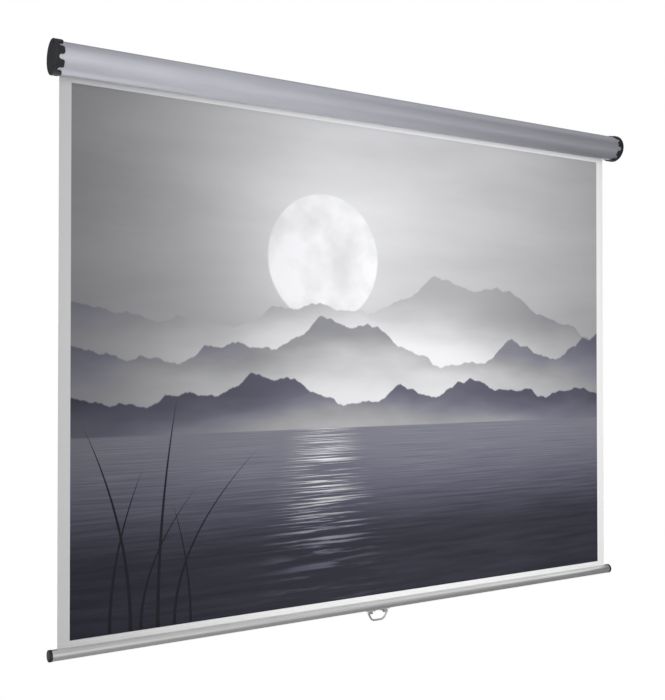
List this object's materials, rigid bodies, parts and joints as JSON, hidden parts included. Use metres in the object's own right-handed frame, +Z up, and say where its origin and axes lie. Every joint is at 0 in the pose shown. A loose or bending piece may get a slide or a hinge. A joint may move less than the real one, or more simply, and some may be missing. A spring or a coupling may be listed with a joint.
{
  "type": "wall projection screen",
  "caption": "Pull-down wall projection screen: white fabric on a spring roller in a round casing, with a weight bar and wire handle.",
  "frame": {"origin": "on the wall's face, midway between the two wall brackets, at the height of the roller's axis", "axes": "+X along the casing to the viewer's right, +Y into the wall, +Z up; the picture faces -Y"},
  "size_m": [1.594, 0.082, 1.2629],
  "materials": {
    "casing_aluminium": "silver anodised, satin",
    "cap_plastic": "moulded black plastic",
    "black_steel": "blackened screw",
    "zinc_steel": "zinc plated",
    "spring_steel": "oiled spring wire",
    "nylon": "natural nylon",
    "brass": "turned brass",
    "roller_aluminium": "mill finish",
    "screen_fabric": "matt white coated screen cloth",
    "bar_aluminium": "satin aluminium",
    "bar_cap_plastic": "dark moulded plastic",
    "handle_wire": "nickel plated wire"
  },
  "bodies": {
    "root": {"casing": "casing_aluminium", "end_cap_left": "cap_plastic", "end_cap_right": "cap_plastic", "cap_screw_left_1": "black_steel", "cap_screw_left_2": "black_steel", "cap_screw_right_1": "black_steel", "cap_screw_right_2": "black_steel", "wall_bracket_left": "zinc_steel", "wall_bracket_right": "zinc_steel", "bracket_lock_screw_left": "zinc_steel", "bracket_lock_screw_right": "zinc_steel", "spring_shaft": "zinc_steel", "ratchet_wheel": "zinc_steel", "spring_collar": "nylon", "collar_pin": "spring_steel", "torsion_spring": "spring_steel", "idle_pin": "zinc_steel", "screen_fabric": "screen_fabric"},
    "roller": {"roller_tube": "roller_aluminium", "roller_plug_left": "nylon", "roller_plug_right": "nylon", "idler_bush": "brass", "spring_driver": "nylon", "fabric_lock_strip": "nylon", "fabric_roll": "screen_fabric", "driver_screw_1": "zinc_steel", "driver_screw_2": "zinc_steel", "pawl_pin_1": "zinc_steel", "pawl_pin_2": "zinc_steel"},
    "pawl_a": {"pawl_1": "zinc_steel"},
    "pawl_b": {"pawl_2": "zinc_steel"},
    "bar": {"weight_bar": "bar_aluminium", "bar_cap_left": "bar_cap_plastic", "bar_cap_right": "bar_cap_plastic", "hem_rod": "nylon", "fabric_hem": "screen_fabric", "handle_saddle": "bar_aluminium", "saddle_screw_left": "zinc_steel", "saddle_screw_right": "zinc_steel"},
    "handle": {"pull_handle": "handle_wire"}
  },
  "joints": [
    {"name": "bar_slide", "type": "slide", "parent": "root", "child": "bar", "axis": [0, 0, 1], "range_m": [0, 1.1435], "deforming": ["screen_fabric"]},
    {"name": "roller_spin", "type": "hinge", "parent": "root", "child": "roller", "pos_m": [0, -0.046, 0], "axis": [1, 0, 0], "range_deg": [0, 2880], "deforming": ["torsion_spring"]},
    {"name": "pawl_a_swing", "type": "hinge", "parent": "roller", "child": "pawl_a", "pos_m": [-0.7825, -0.0308, 0], "axis": [1, 0, 0], "range_deg": [0, 16]},
    {"name": "pawl_b_swing", "type": "hinge", "parent": "roller", "child": "pawl_b", "pos_m": [-0.7825, -0.0612, 0], "axis": [1, 0, 0], "range_deg": [0, 16]},
    {"name": "handle_swing", "type": "hinge", "parent": "bar", "child": "handle", "pos_m": [0, -0.02325, -1.20515], "axis": [1, 0, 0], "range_deg": [-80, 45]}
  ],
  "couplings": [
    {"joint": "roller_spin", "follows": "bar_slide", "rad_per_m": 43.956}
  ]
}
